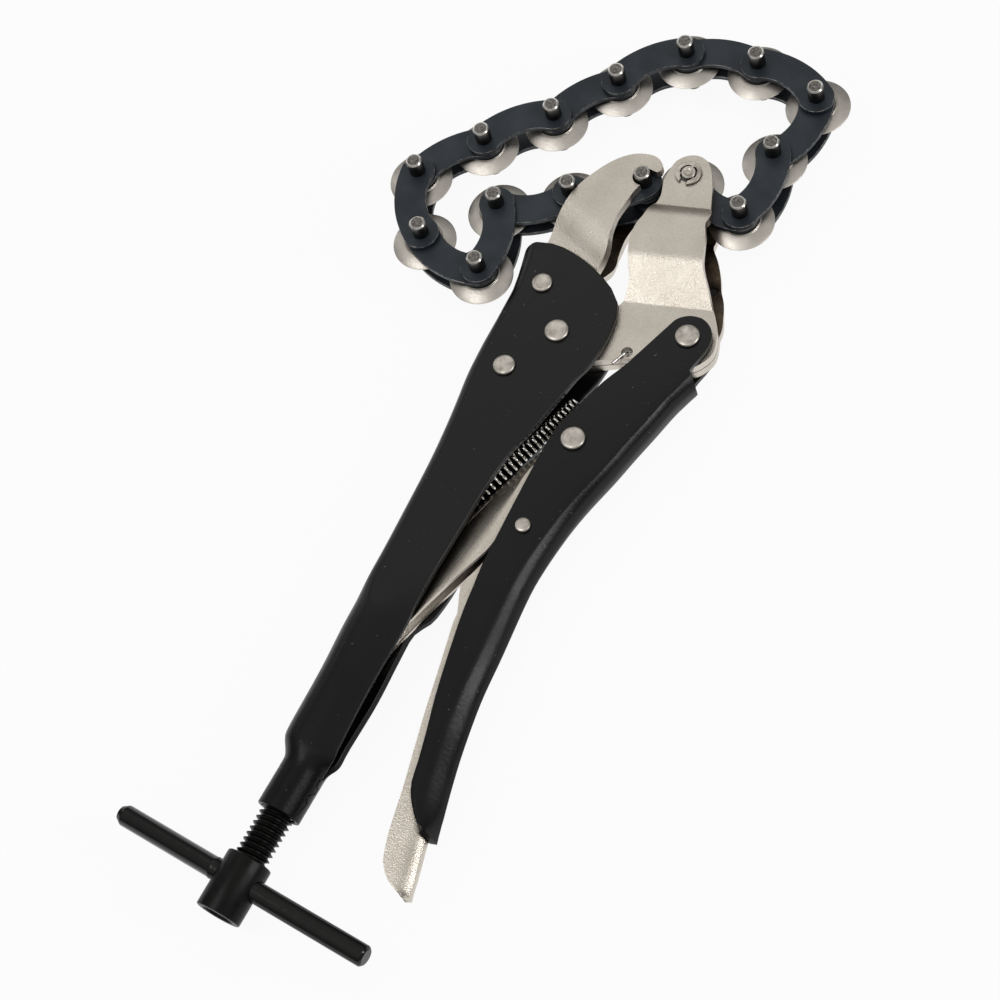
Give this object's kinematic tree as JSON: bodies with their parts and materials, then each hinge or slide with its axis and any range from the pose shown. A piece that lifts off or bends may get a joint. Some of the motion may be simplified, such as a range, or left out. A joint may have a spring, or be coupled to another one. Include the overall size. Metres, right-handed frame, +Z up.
{
  "type": "chain exhaust pipe cutter",
  "caption": "Locking chain cutter for exhaust pipes: a chain of cutting wheels closes on a pipe when the lever is squeezed and is tensioned by a T-handle screw.",
  "frame": {"origin": "bottom centre of the tool's box as it lies on its side", "axes": "+Z up from the surface it lies on, +Y along the adjusting screw towards the jaws, +X from the handle towards the lever"},
  "size_m": [0.1158, 0.2882, 0.0207],
  "materials": {
    "satin_nickel": "satin nickel plate",
    "nickel_rivets": "nickel plate",
    "bright_nickel": "bright nickel plate",
    "blued_steel": "dark blued steel, satin",
    "black_paint": "semi-gloss black paint on steel",
    "black_oxide": "glossy black oxide on steel",
    "spring_wire": "bright spring wire"
  },
  "bodies": {
    "handle": {"handle_shell": "black_paint", "fixed_jaw_front": "satin_nickel", "fixed_jaw_rear": "satin_nickel", "rivet_fixed_jaw_upper": "nickel_rivets", "rivet_fixed_jaw_lower": "nickel_rivets", "rivet_jaw_pivot": "nickel_rivets"},
    "movable_jaw": {"movable_jaw_front": "satin_nickel", "movable_jaw_rear": "satin_nickel", "anchor_pin": "nickel_rivets", "retaining_clip_front": "nickel_rivets", "retaining_clip_rear": "nickel_rivets", "rivet_lever_pivot": "nickel_rivets", "return_spring": "spring_wire"},
    "lever": {"lever_shell": "black_paint", "rivet_toggle_pivot": "nickel_rivets", "rivet_release_pivot": "nickel_rivets"},
    "toggle": {"toggle_link": "satin_nickel"},
    "release": {"release_lever": "satin_nickel"},
    "screw": {"adjusting_screw": "black_oxide"},
    "t_handle": {"screw_hub": "black_oxide", "t_bar": "black_oxide"},
    "link_01": {"link_01": "blued_steel"},
    "link_02": {"link_02": "blued_steel"},
    "link_03": {"link_03": "blued_steel"},
    "link_04": {"link_04": "blued_steel"},
    "link_05": {"link_05": "blued_steel"},
    "link_06": {"link_06": "blued_steel"},
    "link_07": {"link_07": "blued_steel"},
    "link_08": {"link_08": "blued_steel"},
    "link_09": {"link_09": "blued_steel"},
    "link_10": {"link_10": "blued_steel"},
    "link_11": {"link_11": "blued_steel"},
    "link_12": {"link_12": "blued_steel"},
    "link_13": {"link_13": "blued_steel"},
    "link_14": {"link_14": "blued_steel", "end_washer_front": "blued_steel", "end_washer_rear": "blued_steel"},
    "wheel_01": {"wheel_01": "bright_nickel"},
    "wheel_02": {"wheel_02": "bright_nickel"},
    "wheel_03": {"wheel_03": "bright_nickel"},
    "wheel_04": {"wheel_04": "bright_nickel"},
    "wheel_05": {"wheel_05": "bright_nickel"},
    "wheel_06": {"wheel_06": "bright_nickel"},
    "wheel_07": {"wheel_07": "bright_nickel"},
    "wheel_08": {"wheel_08": "bright_nickel"},
    "wheel_09": {"wheel_09": "bright_nickel"},
    "wheel_10": {"wheel_10": "bright_nickel"},
    "wheel_11": {"wheel_11": "bright_nickel"},
    "wheel_12": {"wheel_12": "bright_nickel"},
    "wheel_13": {"wheel_13": "bright_nickel"},
    "wheel_14": {"wheel_14": "bright_nickel"}
  },
  "joints": [
    {"name": "jaw_hinge", "type": "hinge", "parent": "handle", "child": "movable_jaw", "pos_m": [0.01439, 0.03572, 0.01035], "axis": [0, 0, 1], "range_deg": [-15, 2], "deforming": ["return_spring"]},
    {"name": "lever_hinge", "type": "hinge", "parent": "movable_jaw", "child": "lever", "pos_m": [0.04809, 0.04832, 0.01035], "axis": [0, 0, 1], "range_deg": [0, 45]},
    {"name": "toggle_hinge", "type": "hinge", "parent": "lever", "child": "toggle", "pos_m": [0.03448, 0.00872, 0.01035], "axis": [0, 0, 1], "range_deg": [-70, 5]},
    {"name": "release_hinge", "type": "hinge", "parent": "lever", "child": "release", "pos_m": [0.03468, -0.01907, 0.01035], "axis": [0, 0, 1], "range_deg": [-4.5, 0]},
    {"name": "chain_hinge_01", "type": "hinge", "parent": "movable_jaw", "child": "link_01", "pos_m": [0.02479, 0.09362, 0.01035], "axis": [0, 0, 1], "range_deg": [-40, 40]},
    {"name": "chain_hinge_02", "type": "hinge", "parent": "link_01", "child": "link_02", "pos_m": [0.04304, 0.08874, 0.01035], "axis": [0, 0, 1], "range_deg": [-186, 14]},
    {"name": "chain_hinge_03", "type": "hinge", "parent": "link_02", "child": "link_03", "pos_m": [0.04255, 0.10974, 0.01035], "axis": [0, 0, 1], "range_deg": [-70, 130]},
    {"name": "chain_hinge_04", "type": "hinge", "parent": "link_03", "child": "link_04", "pos_m": [0.04557, 0.13052, 0.01035], "axis": [0, 0, 1], "range_deg": [-167, 33]},
    {"name": "chain_hinge_05", "type": "hinge", "parent": "link_04", "child": "link_05", "pos_m": [0.02501, 0.13478, 0.01035], "axis": [0, 0, 1], "range_deg": [-103, 97]},
    {"name": "chain_hinge_06", "type": "hinge", "parent": "link_05", "child": "link_06", "pos_m": [0.00439, 0.13079, 0.01035], "axis": [0, 0, 1], "range_deg": [-118, 82]},
    {"name": "chain_hinge_07", "type": "hinge", "parent": "link_06", "child": "link_07", "pos_m": [-0.00945, 0.11499, 0.01035], "axis": [0, 0, 1], "range_deg": [-87, 113]},
    {"name": "chain_hinge_08", "type": "hinge", "parent": "link_07", "child": "link_08", "pos_m": [-0.0212, 0.09759, 0.01035], "axis": [0, 0, 1], "range_deg": [-69, 131]},
    {"name": "chain_hinge_09", "type": "hinge", "parent": "link_08", "child": "link_09", "pos_m": [-0.03601, 0.0827, 0.01035], "axis": [0, 0, 1], "range_deg": [-88, 112]},
    {"name": "chain_hinge_10", "type": "hinge", "parent": "link_09", "child": "link_10", "pos_m": [-0.0487, 0.06597, 0.01035], "axis": [0, 0, 1], "range_deg": [-151, 49]},
    {"name": "chain_hinge_11", "type": "hinge", "parent": "link_10", "child": "link_11", "pos_m": [-0.03715, 0.04843, 0.01035], "axis": [0, 0, 1], "range_deg": [-128, 72]},
    {"name": "chain_hinge_12", "type": "hinge", "parent": "link_11", "child": "link_12", "pos_m": [-0.01642, 0.0451, 0.01035], "axis": [0, 0, 1], "range_deg": [-194, 6]},
    {"name": "chain_hinge_13", "type": "hinge", "parent": "link_12", "child": "link_13", "pos_m": [-0.02197, 0.06535, 0.01035], "axis": [0, 0, 1], "range_deg": [-8, 192]},
    {"name": "chain_hinge_14", "type": "hinge", "parent": "link_13", "child": "link_14", "pos_m": [-0.00441, 0.07687, 0.01035], "axis": [0, 0, 1], "range_deg": [-76, 124]},
    {"name": "wheel_spin_01", "type": "hinge", "parent": "link_01", "child": "wheel_01", "pos_m": [0.02479, 0.09362, 0.01035], "axis": [0, 0, 1], "continuous": true},
    {"name": "wheel_spin_02", "type": "hinge", "parent": "link_01", "child": "wheel_02", "pos_m": [0.04304, 0.08874, 0.01035], "axis": [0, 0, 1], "continuous": true},
    {"name": "wheel_spin_03", "type": "hinge", "parent": "link_03", "child": "wheel_03", "pos_m": [0.04255, 0.10974, 0.01035], "axis": [0, 0, 1], "continuous": true},
    {"name": "wheel_spin_04", "type": "hinge", "parent": "link_03", "child": "wheel_04", "pos_m": [0.04557, 0.13052, 0.01035], "axis": [0, 0, 1], "continuous": true},
    {"name": "wheel_spin_05", "type": "hinge", "parent": "link_05", "child": "wheel_05", "pos_m": [0.02501, 0.13478, 0.01035], "axis": [0, 0, 1], "continuous": true},
    {"name": "wheel_spin_06", "type": "hinge", "parent": "link_05", "child": "wheel_06", "pos_m": [0.00439, 0.13079, 0.01035], "axis": [0, 0, 1], "continuous": true},
    {"name": "wheel_spin_07", "type": "hinge", "parent": "link_07", "child": "wheel_07", "pos_m": [-0.00945, 0.11499, 0.01035], "axis": [0, 0, 1], "continuous": true},
    {"name": "wheel_spin_08", "type": "hinge", "parent": "link_07", "child": "wheel_08", "pos_m": [-0.0212, 0.09759, 0.01035], "axis": [0, 0, 1], "continuous": true},
    {"name": "wheel_spin_09", "type": "hinge", "parent": "link_09", "child": "wheel_09", "pos_m": [-0.03601, 0.0827, 0.01035], "axis": [0, 0, 1], "continuous": true},
    {"name": "wheel_spin_10", "type": "hinge", "parent": "link_09", "child": "wheel_10", "pos_m": [-0.0487, 0.06597, 0.01035], "axis": [0, 0, 1], "continuous": true},
    {"name": "wheel_spin_11", "type": "hinge", "parent": "link_11", "child": "wheel_11", "pos_m": [-0.03715, 0.04843, 0.01035], "axis": [0, 0, 1], "continuous": true},
    {"name": "wheel_spin_12", "type": "hinge", "parent": "link_11", "child": "wheel_12", "pos_m": [-0.01642, 0.0451, 0.01035], "axis": [0, 0, 1], "continuous": true},
    {"name": "wheel_spin_13", "type": "hinge", "parent": "link_13", "child": "wheel_13", "pos_m": [-0.02197, 0.06535, 0.01035], "axis": [0, 0, 1], "continuous": true},
    {"name": "wheel_spin_14", "type": "hinge", "parent": "link_13", "child": "wheel_14", "pos_m": [-0.00441, 0.07687, 0.01035], "axis": [0, 0, 1], "continuous": true},
    {"name": "screw_travel", "type": "slide", "parent": "handle", "child": "screw", "axis": [0, -1, 0], "range_m": [0, 0.024]},
    {"name": "t_handle_turn", "type": "hinge", "parent": "screw", "child": "t_handle", "pos_m": [0.01439, -0.13528, 0.01035], "axis": [0, -1, 0], "range_deg": [0, 5450]}
  ],
  "couplings": [
    {"joint": "jaw_hinge", "follows": "lever_hinge", "ratio": -0.2},
    {"joint": "toggle_hinge", "follows": "lever_hinge", "ratio": -1.349},
    {"joint": "chain_hinge_01", "follows": "lever_hinge", "ratio": -0.0526},
    {"joint": "chain_hinge_02", "follows": "lever_hinge", "ratio": 0.2074},
    {"joint": "chain_hinge_03", "follows": "lever_hinge", "ratio": 0.0702},
    {"joint": "chain_hinge_04", "follows": "lever_hinge", "ratio": 0.0323},
    {"joint": "chain_hinge_05", "follows": "lever_hinge", "ratio": -0.0747},
    {"joint": "chain_hinge_06", "follows": "lever_hinge", "ratio": -0.1711},
    {"joint": "chain_hinge_07", "follows": "lever_hinge", "ratio": -0.0635},
    {"joint": "chain_hinge_08", "follows": "lever_hinge", "ratio": 0.1222},
    {"joint": "chain_hinge_09", "follows": "lever_hinge", "ratio": 0.0793},
    {"joint": "chain_hinge_10", "follows": "lever_hinge", "ratio": 0.0239},
    {"joint": "chain_hinge_11", "follows": "lever_hinge", "ratio": 0.0105},
    {"joint": "chain_hinge_12", "follows": "lever_hinge", "ratio": 0.0079},
    {"joint": "chain_hinge_13", "follows": "lever_hinge", "ratio": 0.0039},
    {"joint": "chain_hinge_14", "follows": "lever_hinge", "ratio": 0.0043},
    {"joint": "t_handle_turn", "follows": "screw_travel", "rad_per_m": 3957.9}
  ]
}
